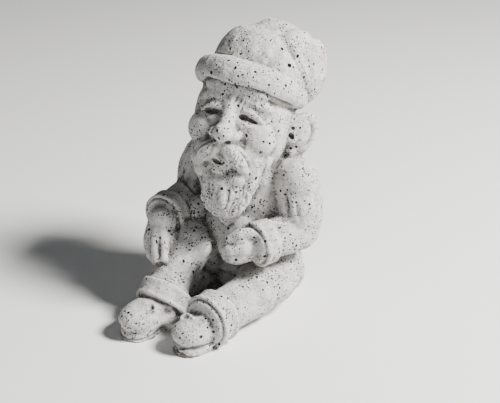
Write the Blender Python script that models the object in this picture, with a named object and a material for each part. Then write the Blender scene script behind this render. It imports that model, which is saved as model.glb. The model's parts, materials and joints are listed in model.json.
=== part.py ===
"""Garden gnome of cast stone, sitting on the ground with one knee raised.

The figure faces -Y, its left side is +X, and it sits on the plane Z = 0. Sizes are in millimetres and
become metres when a mesh is made. Each mass of the figure is one object. Where two masses meet, one of
them is cut back from the other by a thin crease, so the pieces fit together without touching.
"""

import math

import bmesh
import bpy
from mathutils import Euler, Matrix, Vector

MM = 0.001
CREASE = 0.4
SIDES = 16
STEPS = 3

# Seat and legs: the left leg lies along the ground, and the right knee is raised
SEAT_BACK = 56.0
SEAT_HALF_WIDTH = 50.0
SEAT_HALF_DEPTH = 38.0
SEAT_HEIGHT = 58.0
HIP_SPREAD = 25.0
HIP_FORWARD = 8.0
HIP_CLEARANCE = 5.0
THIGH_RADIUS = 25.0
KNEE_RADIUS = 23.0
SHIN_RADIUS = 20.0
LEFT_KNEE = Vector((43.0, 6.0, 27.0))
LEFT_ANKLE = Vector((37.0, -54.0, 24.0))
RIGHT_KNEE = Vector((-30.0, -1.0, 61.0))
RIGHT_ANKLE = Vector((-27.0, -47.0, 22.0))
TURN_UP_WALL = 4.5
TURN_UP_LENGTH = 20.0

# Feet and the web of stone between them
LEFT_TOE = Vector((27.0, -84.0, 0.0))
RIGHT_TOE = Vector((-26.0, -97.0, 0.0))
SHOE_HALF_WIDTH = 18.0
SHOE_HEIGHT = 32.0
SHOE_HEEL_SHARE = 0.12
SHOE_BALL_SHARE = 0.78
SOLE_THICKNESS = 7.0
WEB_THICKNESS = 10.0
WEB_TOE_SETBACK = 24.0
KNEE_RIB_HALF_WIDTH = 14.0

# Jacket
CHEST_BACK = 54.0
CHEST_HALF_WIDTH = 53.0
CHEST_HALF_DEPTH = 41.0
HEM_HEIGHT = 34.0
SHOULDER_HEIGHT = 140.0
SHOULDER_SPREAD = 52.0
NECK_RADIUS = 27.0
UPPER_ARM_RADIUS = 22.0
ELBOW_RADIUS = 20.0
WRIST_RADIUS = 17.0
LEFT_ELBOW = Vector((62.0, 48.0, 81.0))
LEFT_WRIST = Vector((48.0, 7.0, 79.0))
RIGHT_ELBOW = Vector((-60.0, 48.0, 90.0))
RIGHT_WRIST = Vector((-54.0, -6.0, 87.0))
CUFF_WALL = 4.0
CUFF_LENGTH = 16.0

# Hands, each a mitten shape that runs from the wrist to the fingertips
HAND_HALF_WIDTH = 16.0
HAND_HALF_DEPTH = 11.0
LEFT_FINGERTIPS = Vector((18.0, -9.0, 69.0))
RIGHT_FINGERTIPS = Vector((-38.0, -35.0, 55.0))

# Head, in a frame at its middle that looks up and a little to the left. The left ear stands out, and the
# right one lies close. An ear's place is its distance off the head's side, and how far back and up it is.
HEAD_BACK = 46.0
HEAD_RISE = 42.0
HEAD_TURN = Euler((math.radians(-20.0), math.radians(6.0), math.radians(16.0)))
HEAD_HALF_WIDTH = 47.0
HEAD_HALF_DEPTH = 46.0
HEAD_HALF_HEIGHT = 56.0
EAR_HALF_SIZES = (10.0, 15.0, 23.0)
LEFT_EAR = Vector((7.0, 12.0, -6.0))
RIGHT_EAR = Vector((-4.0, 20.0, -6.0))
EAR_FLARE = 32.0
NOSE_HALF_SIZES = (12.0, 13.0, 11.0)
NOSE_DROP = 19.0
MOUSTACHE_SPAN = 27.0
MOUSTACHE_DROP = 30.0
MOUSTACHE_SAG = 6.0
MOUSTACHE_WRAP = 13.0
MOUSTACHE_RADIUS = 7.0
BEARD_HALF_WIDTH = 38.0
BEARD_HALF_DEPTH = 21.0
BEARD_LENGTH = 62.0

# Hat, in the head's frame and tipped further back
HAT_TURN = Euler((math.radians(-9.0), math.radians(3.0), 0.0))
BRIM_HEIGHT = 30.0
BRIM_RADIUS = 47.0
BRIM_ROLL_FRONT = 14.0
BRIM_ROLL_BACK = 9.0
CROWN_HEIGHT = 49.0
CROWN_LEAN = Vector((14.0, 11.0, 0.0))
HAT_TIP_HALF_SIZES = (20.0, 25.0, 29.0)
HAT_TIP_PLACE = Vector((-6.0, 18.0, 24.0))

STONE_COLOUR = (0.58, 0.57, 0.55)
STONE_ROUGHNESS = 0.95


def mixed(start, end, share):
    return start + (end - start) * share


def smooth_stations(stations, steps):
    """More stations on a Catmull-Rom curve through the given ones."""
    rows = [Vector((*centre, width, depth)) for centre, width, depth in stations]
    rows = [rows[0] * 2 - rows[1], *rows, rows[-1] * 2 - rows[-2]]
    found = []
    for before, start, end, after in zip(rows, rows[1:], rows[2:], rows[3:]):
        for t in (step / steps for step in range(steps)):
            slope = (end - before) * t
            bend = (before * 2 - start * 5 + end * 4 - after) * t**2
            twist = (start * 3 - before - end * 3 + after) * t**3
            found.append(start + (slope + bend + twist) / 2)
    found.append(rows[-2])
    return [(Vector(row[:3]), row[3], row[4]) for row in found]


def round_end(end, inner, bulge):
    """The stations of a domed end beyond the last station, and its pole. A bulge of 1 is a half ball."""
    centre, width, depth = end
    outwards = (centre - inner[0]).normalized() * min(width, depth) * bulge
    rows = []
    for angle in (math.radians(35.0), math.radians(65.0)):
        rows.append((centre + outwards * math.sin(angle), width * math.cos(angle), depth * math.cos(angle)))
    return rows, centre + outwards


def skin(mesh, rings, closed=False):
    """Faces between each ring of points and the next."""
    followers = rings[1:] + rings[:1] if closed else rings[1:]
    for ring, following in zip(rings, followers):
        for corner, point in enumerate(ring):
            beside = (corner + 1) % len(ring)
            mesh.faces.new((point, ring[beside], following[beside], following[corner]))


def loft(name, stations, across=(1, 0, 0), sides=SIDES, bulges=(1.0, 1.0)):
    """A closed solid over oval sections, each given as (centre, half width along across, half depth)."""
    rows = smooth_stations(stations, STEPS)
    start_rows, start_pole = round_end(rows[0], rows[1], bulges[0])
    end_rows, end_pole = round_end(rows[-1], rows[-2], bulges[1])
    rows = start_rows[::-1] + rows + end_rows
    mesh = bmesh.new()
    rings = []
    for index, (centre, width, depth) in enumerate(rows):
        along = rows[min(index + 1, len(rows) - 1)][0] - rows[max(index - 1, 0)][0]
        along.normalize()
        side = Vector(across)
        side = (side - along * along.dot(side)).normalized() * width
        other = along.cross(side).normalized() * depth
        angles = [math.tau * corner / sides for corner in range(sides)]
        rings.append([mesh.verts.new(centre + side * math.cos(a) + other * math.sin(a)) for a in angles])
    skin(mesh, rings)
    for ring, pole in ((rings[0], start_pole), (rings[-1], end_pole)):
        tip = mesh.verts.new(pole)
        for corner, point in enumerate(ring):
            mesh.faces.new((point, ring[(corner + 1) % sides], tip))
    return solid(name, mesh)


def limb(name, points, radii, bulges=(1.0, 1.0)):
    """A round loft through the points."""
    return loft(name, [(point, radius, radius) for point, radius in zip(points, radii)], bulges=bulges)


def ovoid(name, centre, half_sizes, turn=Matrix.Identity(3), sides=20):
    """An egg shape, turned about its centre."""
    mesh = bmesh.new()
    bmesh.ops.create_uvsphere(mesh, u_segments=sides, v_segments=sides * 2 // 3, radius=1.0)
    shape = Matrix.Translation(centre) @ turn.to_4x4() @ Matrix.Diagonal((*half_sizes, 1.0))
    bmesh.ops.transform(mesh, matrix=shape, verts=mesh.verts)
    return solid(name, mesh)


def slab(name, outline, travel):
    """A flat outline of points, drawn out along the travel."""
    mesh = bmesh.new()
    near = [mesh.verts.new(point) for point in outline]
    far = [mesh.verts.new(Vector(point) + Vector(travel)) for point in outline]
    skin(mesh, [near, far])
    mesh.faces.new(near)
    mesh.faces.new(far)
    return solid(name, mesh)


def solid(name, mesh):
    """An object made from a mesh in millimetres, parented to the whole figure's empty."""
    bmesh.ops.recalc_face_normals(mesh, faces=mesh.faces)
    bmesh.ops.scale(mesh, vec=(MM, MM, MM), verts=mesh.verts)
    data = bpy.data.meshes.new(name)
    mesh.to_mesh(data)
    mesh.free()
    data.shade_smooth()
    data.materials.append(cast_stone(name))
    return placed(bpy.data.objects.new(name, data))


def cast_stone(name):
    """Pale, dry concrete: the piece's own copy of the one material."""
    material = bpy.data.materials.new(name + "_cast_stone")
    material.use_nodes = True
    shader = material.node_tree.nodes["Principled BSDF"]
    shader.inputs["Base Color"].default_value = (*STONE_COLOUR, 1.0)
    shader.inputs["Roughness"].default_value = STONE_ROUGHNESS
    shader.inputs["Metallic"].default_value = 0.0
    return material


def placed(item):
    bpy.context.scene.collection.objects.link(item)
    item.parent = bpy.data.objects["figure"]
    return item


def guide(item):
    """A shape that only cuts or joins others."""
    item.hide_render = True
    item.display_type = "WIRE"
    return item


def boolean(item, other, operation):
    change = item.modifiers.new(operation.lower(), "BOOLEAN")
    change.object = other
    change.operation = operation
    change.solver = "EXACT"


def joined(item, *others):
    """One solid from the item and the shapes that overlap it."""
    for other in others:
        boolean(item, guide(other), "UNION")
    return item


def room_for(item):
    """A cutter: the item's full shape with the crease added all round."""
    name = "room_for_" + item.name
    if name in bpy.data.objects:
        return bpy.data.objects[name]
    room = guide(placed(bpy.data.objects.new(name, item.data)))
    grow = room.modifiers.new("crease", "DISPLACE")
    grow.strength = CREASE * MM
    grow.mid_level = 0.0
    for change in item.modifiers:
        if change.type == "BOOLEAN" and change.operation == "UNION":
            boolean(room, room_for(change.object), "UNION")
    return room


def cut_back(item, *neighbours):
    for neighbour in neighbours:
        boolean(item, room_for(neighbour), "DIFFERENCE")


def head_frame():
    centre = Vector((0.0, HEAD_BACK, SHOULDER_HEIGHT + HEAD_RISE))
    return Matrix.Translation(centre) @ HEAD_TURN.to_matrix().to_4x4()


def hat_frame():
    """The middle of the brim, with Z along the hat."""
    return head_frame() @ Matrix.Translation((0.0, 3.0, BRIM_HEIGHT)) @ HAT_TURN.to_matrix().to_4x4()


def hat_crown():
    """A soft dome that stands on the middle of the brim and leans back."""
    stations = []
    for rise, spread, lean in ((0.0, 0.98, 0.0), (0.35, 1.04, 0.4), (0.7, 0.93, 0.8), (1.0, 0.66, 1.0)):
        centre = hat_frame() @ (CROWN_LEAN * lean + Vector((0.0, 0.0, CROWN_HEIGHT * rise)))
        stations.append((centre, BRIM_RADIUS * spread, BRIM_RADIUS * spread))
    across = hat_frame().to_3x3() @ Vector((1, 0, 0))
    return loft("hat_crown", stations, across, sides=24, bulges=(0.01, 0.5))


def hat_brim():
    """A rolled ring of oval sections, thickest over the forehead."""
    mesh = bmesh.new()
    around, section = 28, 12
    rings = []
    for index in range(around):
        angle = math.tau * index / around
        roll = mixed(BRIM_ROLL_BACK, BRIM_ROLL_FRONT, (1 - math.sin(angle)) / 2)
        outwards = Vector((math.cos(angle), math.sin(angle), 0.0))
        ring = []
        for turn in (math.tau * corner / section for corner in range(section)):
            point = outwards * (BRIM_RADIUS + roll * 0.7 * math.cos(turn))
            point.z = roll * math.sin(turn)
            ring.append(mesh.verts.new(hat_frame() @ point))
        rings.append(ring)
    skin(mesh, rings, closed=True)
    return solid("hat_brim", mesh)


def hat_tip():
    """The soft end of the hat, folded down at the back on the left."""
    centre = hat_frame() @ (Vector((BRIM_RADIUS, 0.0, 0.0)) + HAT_TIP_PLACE)
    return ovoid("hat_tip", centre, HAT_TIP_HALF_SIZES, hat_frame().to_3x3(), sides=16)


def head():
    frame = head_frame()
    turn = frame.to_3x3()
    features = []
    for side, label, place in ((1, "left", LEFT_EAR), (-1, "right", RIGHT_EAR)):
        flare = Euler((0.0, math.radians(10.0) * side, math.radians(-EAR_FLARE) * side)).to_matrix()
        centre = frame @ Vector((side * (HEAD_HALF_WIDTH + place.x), place.y, place.z))
        features.append(ovoid("ear_" + label, centre, EAR_HALF_SIZES, turn @ flare, sides=12))
    nose_centre = frame @ Vector((0.0, -HEAD_HALF_DEPTH, -NOSE_DROP))
    features.append(ovoid("nose", nose_centre, NOSE_HALF_SIZES, turn, sides=12))
    half_sizes = (HEAD_HALF_WIDTH, HEAD_HALF_DEPTH, HEAD_HALF_HEIGHT)
    return joined(ovoid("head", frame.translation, half_sizes, turn, sides=24), *features)


def moustache():
    """Two drooping lobes that meet under the nose."""
    frame = head_frame()
    stations = []
    for side, fullness in ((-1.0, 0.6), (-0.5, 1.0), (0.0, 0.85), (0.5, 1.0), (1.0, 0.6)):
        wrap = MOUSTACHE_WRAP * side**2 - HEAD_HALF_DEPTH
        sag = MOUSTACHE_SAG * side**2 + MOUSTACHE_DROP
        point = frame @ Vector((MOUSTACHE_SPAN * side, wrap, -sag))
        stations.append((point, MOUSTACHE_RADIUS * fullness, MOUSTACHE_RADIUS * fullness))
    return loft("moustache", stations, across=(0, 0, 1), sides=12)


def beard():
    """A broad mass from the jaw that narrows down to a point on the chest."""
    chin = head_frame() @ Vector((0.0, -HEAD_HALF_DEPTH * 0.45, -HEAD_HALF_HEIGHT * 0.62))
    tip = Vector((7.0, CHEST_BACK - CHEST_HALF_DEPTH - 5.0, chin.z - BEARD_LENGTH))
    stations = []
    for drop, width, depth in ((0.0, 1.0, 1.0), (0.35, 0.9, 1.0), (0.7, 0.58, 0.75), (1.0, 0.2, 0.4)):
        centre = chin.lerp(tip, drop)
        stations.append((centre, BEARD_HALF_WIDTH * width, BEARD_HALF_DEPTH * depth))
    return loft("beard", stations, sides=20)


def jacket_body():
    stations = []
    for rise, width, depth in ((0.0, 1.0, 1.02), (0.3, 0.97, 0.98), (0.6, 1.0, 1.0), (0.88, 0.93, 0.84)):
        centre = Vector((0.0, CHEST_BACK, mixed(HEM_HEIGHT, SHOULDER_HEIGHT, rise)))
        stations.append((centre, CHEST_HALF_WIDTH * width, CHEST_HALF_DEPTH * depth))
    stations.append((Vector((0.0, CHEST_BACK, SHOULDER_HEIGHT + 12.0)), NECK_RADIUS * 1.25, NECK_RADIUS))
    return loft("jacket_body", stations, sides=24, bulges=(0.3, 0.3))


def trouser_seat():
    stations = []
    for rise, spread in ((-0.1, 0.88), (0.45, 1.0), (1.0, 0.8)):
        centre = Vector((0.0, SEAT_BACK, SEAT_HEIGHT * rise))
        stations.append((centre, SEAT_HALF_WIDTH * spread, SEAT_HALF_DEPTH * spread))
    return loft("trouser_seat", stations, sides=24, bulges=(0.3, 0.3))


def sleeve(label, side, elbow, wrist):
    shoulder = Vector((side * SHOULDER_SPREAD, CHEST_BACK, SHOULDER_HEIGHT - UPPER_ARM_RADIUS * 0.55))
    middle = shoulder.lerp(elbow, 0.5) + Vector((side * 3.0, 0.0, 0.0))
    upper = limb(
        "sleeve_" + label,
        [shoulder, middle, elbow],
        [UPPER_ARM_RADIUS, UPPER_ARM_RADIUS * 1.02, ELBOW_RADIUS],
    )
    lower = limb(
        "forearm_" + label,
        [elbow, elbow.lerp(wrist, 0.5), wrist],
        [ELBOW_RADIUS, mixed(ELBOW_RADIUS, WRIST_RADIUS, 0.4), WRIST_RADIUS],
        bulges=(1.0, 0.1),
    )
    return joined(upper, lower)


def band(name, centre, along, radius, length):
    """A short, thick-walled roll of cloth round the end of a sleeve or a trouser leg."""
    ends = [centre + along * length * share for share in (-0.5, 0.0, 0.5)]
    return limb(name, ends, [radius, radius * 1.02, radius], bulges=(0.15, 0.15))


def hip_place(side):
    return Vector((side * HIP_SPREAD, SEAT_BACK - HIP_FORWARD, THIGH_RADIUS + HIP_CLEARANCE))


def trouser_leg(label, side, knee, ankle):
    hip = hip_place(side)
    thigh = limb(
        "trouser_leg_" + label,
        [hip, hip.lerp(knee, 0.5), knee],
        [THIGH_RADIUS, mixed(THIGH_RADIUS, KNEE_RADIUS, 0.4), KNEE_RADIUS],
    )
    shin = limb(
        "shin_" + label,
        [knee, knee.lerp(ankle, 0.5), ankle],
        [KNEE_RADIUS, mixed(KNEE_RADIUS, SHIN_RADIUS, 0.7), SHIN_RADIUS],
        bulges=(1.0, 0.1),
    )
    return joined(thigh, shin)


def shoe(label, ankle, toe):
    """A round-toed shoe from under the ankle to the toe."""
    stations = []
    for share, width, height in ((SHOE_HEEL_SHARE, 0.8, 1.0), (0.5, 0.95, 0.95), (SHOE_BALL_SHARE, 1.0, 0.8)):
        centre = ankle.lerp(toe, share)
        centre.z = SOLE_THICKNESS + SHOE_HEIGHT * 0.32
        stations.append((centre, SHOE_HALF_WIDTH * width, SHOE_HEIGHT * height * 0.5))
    return loft("shoe_" + label, stations, bulges=(0.8, 1.35))


def sole(label, ankle, toe):
    """A flat sole that follows the shoe's outline: two half rounds, the wider one under the toes."""
    heel_middle = ankle.lerp(toe, SHOE_HEEL_SHARE)
    ball_middle = ankle.lerp(toe, SHOE_BALL_SHARE)
    forwards = Vector((toe.x - ankle.x, toe.y - ankle.y, 0.0)).normalized()
    aside = Vector((-forwards.y, forwards.x, 0.0))
    outline = []
    for centre, width, start in ((ball_middle, 0.96, 0.0), (heel_middle, 0.82, math.pi)):
        for angle in (start + math.pi * step / 8 for step in range(9)):
            outwards = aside * math.cos(angle) + forwards * math.sin(angle)
            outline.append(centre + outwards * SHOE_HALF_WIDTH * width)
    return slab("sole_" + label, [(point.x, point.y, 0.0) for point in outline], (0, 0, SOLE_THICKNESS))


def ground_web():
    """The low web of stone that ties the feet and legs to the seat, with a rib under the raised knee."""
    outline = [
        (LEFT_TOE.x, LEFT_TOE.y + WEB_TOE_SETBACK, 0.0),
        (LEFT_KNEE.x, LEFT_KNEE.y, 0.0),
        (HIP_SPREAD, SEAT_BACK, 0.0),
        (-HIP_SPREAD, SEAT_BACK, 0.0),
        (RIGHT_KNEE.x, RIGHT_KNEE.y, 0.0),
        (RIGHT_TOE.x, RIGHT_TOE.y + WEB_TOE_SETBACK, 0.0),
    ]
    base = slab("ground_web", outline, (0, 0, WEB_THICKNESS))
    hip = hip_place(-1)
    side = RIGHT_KNEE.x - KNEE_RIB_HALF_WIDTH
    profile = [(side, RIGHT_ANKLE.y, 0.0), (side, hip.y, 0.0)]
    profile += [(side, point.y, point.z) for point in (hip, RIGHT_KNEE, RIGHT_ANKLE)]
    return joined(base, slab("knee_rib", profile, (2 * KNEE_RIB_HALF_WIDTH, 0, 0)))


def hand(label, wrist, along, fingertips):
    """A mitten shape that bends at the knuckles."""
    start = wrist + along * CUFF_LENGTH * 0.2
    knuckles = start.lerp(fingertips, 0.5) + along * 7.0
    stations = [
        (start, HAND_HALF_WIDTH * 0.85, HAND_HALF_DEPTH),
        (knuckles, HAND_HALF_WIDTH, HAND_HALF_DEPTH),
        (fingertips, HAND_HALF_WIDTH * 0.75, HAND_HALF_DEPTH * 0.6),
    ]
    across = (0, 0, 1) if label == "left" else (1, 0.3, 0)
    return loft("hand_" + label, stations, across, sides=14)


def ground():
    size = 1000.0
    corners = [(-size, -size, -size), (size, -size, -size), (size, size, -size), (-size, size, -size)]
    return guide(slab("ground", corners, (0, 0, size)))


def centre_on_ground(pieces):
    """Moves the figure so that the middle of its footprint is at X = Y = 0."""
    bpy.context.view_layer.update()
    graph = bpy.context.evaluated_depsgraph_get()
    corners = []
    for piece in pieces:
        corners += [Vector(corner) for corner in piece.evaluated_get(graph).bound_box]
    for axis in (0, 1):
        low = min(corner[axis] for corner in corners)
        high = max(corner[axis] for corner in corners)
        bpy.data.objects["figure"].location[axis] = -(low + high) / 2


def build():
    for item in list(bpy.data.objects):
        bpy.data.objects.remove(item)
    figure = bpy.data.objects.new("figure", None)
    bpy.context.scene.collection.objects.link(figure)
    p = {}
    trunk = (hat_crown, hat_brim, hat_tip, head, moustache, beard, jacket_body, trouser_seat, ground_web)
    for make in trunk:
        p[make.__name__] = make()
    for label, side, elbow, wrist, fingertips, knee, ankle, toe in (
        ("left", 1, LEFT_ELBOW, LEFT_WRIST, LEFT_FINGERTIPS, LEFT_KNEE, LEFT_ANKLE, LEFT_TOE),
        ("right", -1, RIGHT_ELBOW, RIGHT_WRIST, RIGHT_FINGERTIPS, RIGHT_KNEE, RIGHT_ANKLE, RIGHT_TOE),
    ):
        reach = (wrist - elbow).normalized()
        down = (ankle - knee).normalized()
        p["sleeve_" + label] = sleeve(label, side, elbow, wrist)
        p["cuff_" + label] = band("cuff_" + label, wrist, reach, WRIST_RADIUS + CUFF_WALL, CUFF_LENGTH)
        p["hand_" + label] = hand(label, wrist, reach, fingertips)
        p["trouser_leg_" + label] = trouser_leg(label, side, knee, ankle)
        turn_up_radius = SHIN_RADIUS + TURN_UP_WALL
        p["turn_up_" + label] = band("turn_up_" + label, ankle, down, turn_up_radius, TURN_UP_LENGTH)
        p["shoe_" + label] = shoe(label, ankle, toe)
        p["sole_" + label] = sole(label, ankle, toe)
    floor = ground()
    for name, piece in p.items():
        if name not in ("ground_web", "sole_left", "sole_right"):
            boolean(piece, floor, "DIFFERENCE")
    cut_back(p["head"], p["hat_crown"])
    cut_back(p["hat_brim"], p["hat_crown"], p["head"])
    cut_back(p["hat_tip"], p["hat_crown"], p["hat_brim"])
    cut_back(p["jacket_body"], p["head"], p["trouser_seat"])
    cut_back(p["beard"], p["head"], p["jacket_body"])
    cut_back(p["moustache"], p["head"], p["beard"])
    for label in ("left", "right"):
        leg, turn_up, foot, flat = (p[n + label] for n in ("trouser_leg_", "turn_up_", "shoe_", "sole_"))
        arm, cuff, palm = (p[n + label] for n in ("sleeve_", "cuff_", "hand_"))
        cut_back(turn_up, flat)
        cut_back(leg, p["trouser_seat"], p["jacket_body"], turn_up, foot, flat)
        cut_back(foot, flat, turn_up)
        cut_back(arm, leg, p["trouser_seat"], p["jacket_body"], cuff, p["head"], p["beard"])
        cut_back(cuff, p["jacket_body"], leg)
        cut_back(palm, cuff, leg, p["jacket_body"], arm)
        cut_back(p["ground_web"], leg, turn_up, foot, flat)
    cut_back(p["ground_web"], p["trouser_seat"], p["jacket_body"])
    cut_back(p["trouser_leg_left"], p["trouser_leg_right"])
    centre_on_ground(p.values())


build()
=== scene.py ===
import json
import math

import bpy
import numpy as np
from mathutils import Euler, Matrix, Vector
from mathutils.bvhtree import BVHTree

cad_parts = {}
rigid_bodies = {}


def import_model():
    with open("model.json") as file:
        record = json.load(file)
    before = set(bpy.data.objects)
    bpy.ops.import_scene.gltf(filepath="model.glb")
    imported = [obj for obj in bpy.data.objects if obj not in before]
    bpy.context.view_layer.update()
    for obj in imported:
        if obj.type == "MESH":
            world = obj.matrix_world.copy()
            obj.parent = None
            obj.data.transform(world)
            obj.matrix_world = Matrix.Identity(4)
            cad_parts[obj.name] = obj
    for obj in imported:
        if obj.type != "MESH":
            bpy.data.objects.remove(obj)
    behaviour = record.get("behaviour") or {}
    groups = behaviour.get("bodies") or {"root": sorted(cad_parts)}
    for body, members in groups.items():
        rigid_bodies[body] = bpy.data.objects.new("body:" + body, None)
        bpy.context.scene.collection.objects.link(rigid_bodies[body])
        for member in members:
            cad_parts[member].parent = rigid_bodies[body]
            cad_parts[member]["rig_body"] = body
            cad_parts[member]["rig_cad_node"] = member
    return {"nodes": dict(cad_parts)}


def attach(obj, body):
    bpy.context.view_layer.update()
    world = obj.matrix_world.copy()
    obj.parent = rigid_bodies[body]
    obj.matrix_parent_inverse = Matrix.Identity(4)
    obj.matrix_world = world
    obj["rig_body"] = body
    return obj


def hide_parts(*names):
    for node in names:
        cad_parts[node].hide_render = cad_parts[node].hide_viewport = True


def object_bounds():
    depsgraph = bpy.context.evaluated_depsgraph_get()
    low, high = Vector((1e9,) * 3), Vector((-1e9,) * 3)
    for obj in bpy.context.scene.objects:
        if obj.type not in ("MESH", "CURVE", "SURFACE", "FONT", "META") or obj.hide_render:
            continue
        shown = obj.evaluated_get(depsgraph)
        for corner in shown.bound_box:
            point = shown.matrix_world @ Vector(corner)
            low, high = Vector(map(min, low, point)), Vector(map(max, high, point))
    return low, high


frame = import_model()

CAD_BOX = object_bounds()

# The gnome is one casting, so it is worked as a sculptor works: a core of clay over the frame, lumps and
# rolls pressed onto it, hollows scooped out, and strokes drawn with a tool. It is then parted into the
# frame's pieces.
# Places and sizes are in millimetres, and the frame's own figures are in metres.
MM = 0.001
RUBBED_VOXEL = 1.0
FINE_VOXEL = 1.03
CORE_OVERLAP = 0.5
PIECE_WALL = 1.2
BALL_FACES = {"segments": 28, "ring_count": 18}

WORLD = Matrix.Identity(4)
HEAD_TURN = Euler((math.radians(-20.0), math.radians(6.0), math.radians(16.0)))
HEAD = Matrix.Translation((-0.6, 36.5, 182.0)) @ HEAD_TURN.to_matrix().to_4x4()
# For the left side (1) and the right (-1): the middle of each ear, in the head's frame.
EARS = {1: (54.0, 12.0, -6.0), -1: (-43.0, 20.0, -6.0)}
EAR_FLARE = 32.0
EAR_LEAN = 10.0

# The tip of each shoe on the floor and the middle of each bow, with how far it turns, in degrees.
FEET = [((26.4, -93.5, 0), 8), ((-26.6, -106.5, 0), -6)]
BOWS = [((-21, -84, 31), -12), ((30, -81, 32), 12)]
BOW_SIZE = 1.35


# ---- Clay ----

def deselect():
    if bpy.context.object and bpy.context.object.mode != "OBJECT":
        bpy.ops.object.mode_set(mode="OBJECT")
    bpy.ops.object.select_all(action="DESELECT")


def activate(item):
    deselect()
    item.select_set(True)
    bpy.context.view_layer.objects.active = item


def ball(place, sizes, turn=(0, 0, 0), at=WORLD):
    """A lump of clay: an egg with three half sizes, turned by degrees."""
    where = at @ Matrix.Translation(place) @ Euler([math.radians(a) for a in turn]).to_matrix().to_4x4()
    deselect()
    bpy.ops.mesh.primitive_uv_sphere_add(
        **BALL_FACES,
        radius=1.0,
        location=where.translation * MM,
        rotation=where.to_euler(),
        scale=[size * MM for size in sizes],
    )
    return bpy.context.object


def smooth_path(points, steps=6):
    """Points along a Catmull-Rom curve through the given ones, which may have any number of columns."""
    rows = np.array(points, float)
    rows = np.vstack([2 * rows[0] - rows[1], rows, 2 * rows[-1] - rows[-2]])
    found = []
    for before, start, end, after in zip(rows, rows[1:], rows[2:], rows[3:]):
        for t in np.arange(steps) / steps:
            slope = (end - before) * t
            bend = (2 * before - 5 * start + 4 * end - after) * t**2
            twist = (3 * start - before - 3 * end + after) * t**3
            found.append(start + (slope + bend + twist) / 2)
    return np.array(found + [rows[-2]])


def roll(points, radii, at=WORLD):
    """A roll of clay along a smooth path, with a radius for each point."""
    rows = smooth_path([(*point, radius) for point, radius in zip(points, radii)])
    deselect()
    bpy.ops.curve.primitive_bezier_curve_add(location=(0, 0, 0))
    item = bpy.context.object
    curve = item.data
    curve.splines.clear()
    line = curve.splines.new("POLY")
    line.points.add(len(rows) - 1)
    for point, row in zip(line.points, rows):
        point.co = (*((at @ Vector(row[:3])) * MM), 1.0)
        point.radius = row[3]
    curve.dimensions = "3D"
    curve.bevel_depth = MM
    curve.bevel_resolution = 4
    curve.use_fill_caps = True
    bpy.ops.object.convert(target="MESH")
    item = bpy.context.object
    ends = [ball(tuple(rows[i][:3]), (rows[i][3],) * 3, at=at) for i in (0, -1)]
    return joined([item, *ends])


def turned(place, degrees):
    """A frame at a place, turned about the upright."""
    return Matrix.Translation(place) @ Matrix.Rotation(math.radians(degrees), 4, "Z")


def around(middle, along, radius, turns=12):
    """A ring of places round a limb."""
    along = Vector(along).normalized()
    across = along.cross(Vector((0.3, 0.2, 1.0))).normalized()
    third = along.cross(across)
    angles = [math.tau * step / turns for step in range(turns + 1)]
    return [Vector(middle) + (across * math.cos(a) + third * math.sin(a)) * radius for a in angles]


def joined(items):
    activate(items[0])
    for item in items:
        item.select_set(True)
    bpy.ops.object.join()
    return bpy.context.object


def apply_modifier(item, kind, **settings):
    activate(item)
    change = item.modifiers.new("step", kind)
    for name, value in settings.items():
        setattr(change, name, value)
    bpy.ops.object.modifier_apply(modifier="step")


def fuse(item, voxel):
    """Works everything into one closed skin."""
    apply_modifier(item, "REMESH", mode="VOXEL", voxel_size=voxel * MM, adaptivity=0.0)


def rub(item, times, strength=0.5):
    """Rubs the clay smooth with a wet thumb."""
    apply_modifier(item, "SMOOTH", factor=strength, iterations=times)


def core():
    """The frame's own solids, swelled enough to run into each other."""
    copies = []
    for node in sorted(frame["nodes"]):
        copy = frame["nodes"][node].copy()
        copy.data = copy.data.copy()
        copy.parent = None
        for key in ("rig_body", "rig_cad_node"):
            del copy[key]
        bpy.context.scene.collection.objects.link(copy)
        activate(copy)
        bpy.ops.object.mode_set(mode="EDIT")
        bpy.ops.mesh.select_all(action="SELECT")
        bpy.ops.mesh.remove_doubles(threshold=1e-6)
        bpy.ops.object.mode_set(mode="OBJECT")
        apply_modifier(copy, "DISPLACE", strength=CORE_OVERLAP * MM, mid_level=0.0)
        copies.append(copy)
    return joined(copies)


# ---- What the sculptor added ----

def hat_masses():
    """The full crown, and the folded end of the hat that bulges behind it."""
    return [
        ball((0, 62, 223), (42, 38, 39)),
        ball((38, 84, 222), (13, 26, 30), (0, 8, 0)),
        ball((26, 74, 240), (20, 26, 21)),
        ball((32, 70, 243), (16, 24, 19)),
    ]


def face_masses():
    """Low brows, a bulbous nose, and puffy cheeks."""
    lumps = [
        roll([(-2, -41, 12), (-1, -45, 0), (1, -51, -11)], [6, 6.5, 8.5], HEAD),
        ball((1, -55, -16.5), (10.5, 11, 9.5), at=HEAD),
        ball((0, -37, 24), (32, 10, 12), at=HEAD),
        ball((0, -37, -36), (22, 13, 16), at=HEAD),
    ]
    for side, jaw in ((1, 38), (-1, 34)):
        lumps += [
            ball((side * 9.5, -47, -18), (7, 8, 6), at=HEAD),
            ball((side * 24, -29, -17), (19, 13, 18), (0, side * 15, 0), HEAD),
            ball((side * 25, -29, -42), (10, 9, 10), at=HEAD),
            ball((side * 19, -35, 14), (18, 9, 7), (0, side * 12, side * 22), HEAD),
            ball((side * jaw, -10, -12), (9, 16, 26), at=HEAD),
        ]
    return lumps


def eyelids(side):
    """A heavy upper lid, nearly closed, and a softer lower one."""
    upper = [(10, -42.5, 3.5), (15, -43.5, 5.5), (22, -42, 4), (30, -36, -2)]
    lower = [(11, -41, -5), (17, -41.5, -7), (24, -38, -7), (30, -34, -5)]
    upper = [(side * x, y, z) for x, y, z in upper]
    lower = [(side * x, y, z) for x, y, z in lower]
    return [roll(upper, [2.0, 3.2, 3.2, 1.8], HEAD), roll(lower, [1.6, 2.0, 2.0, 1.4], HEAD)]


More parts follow.
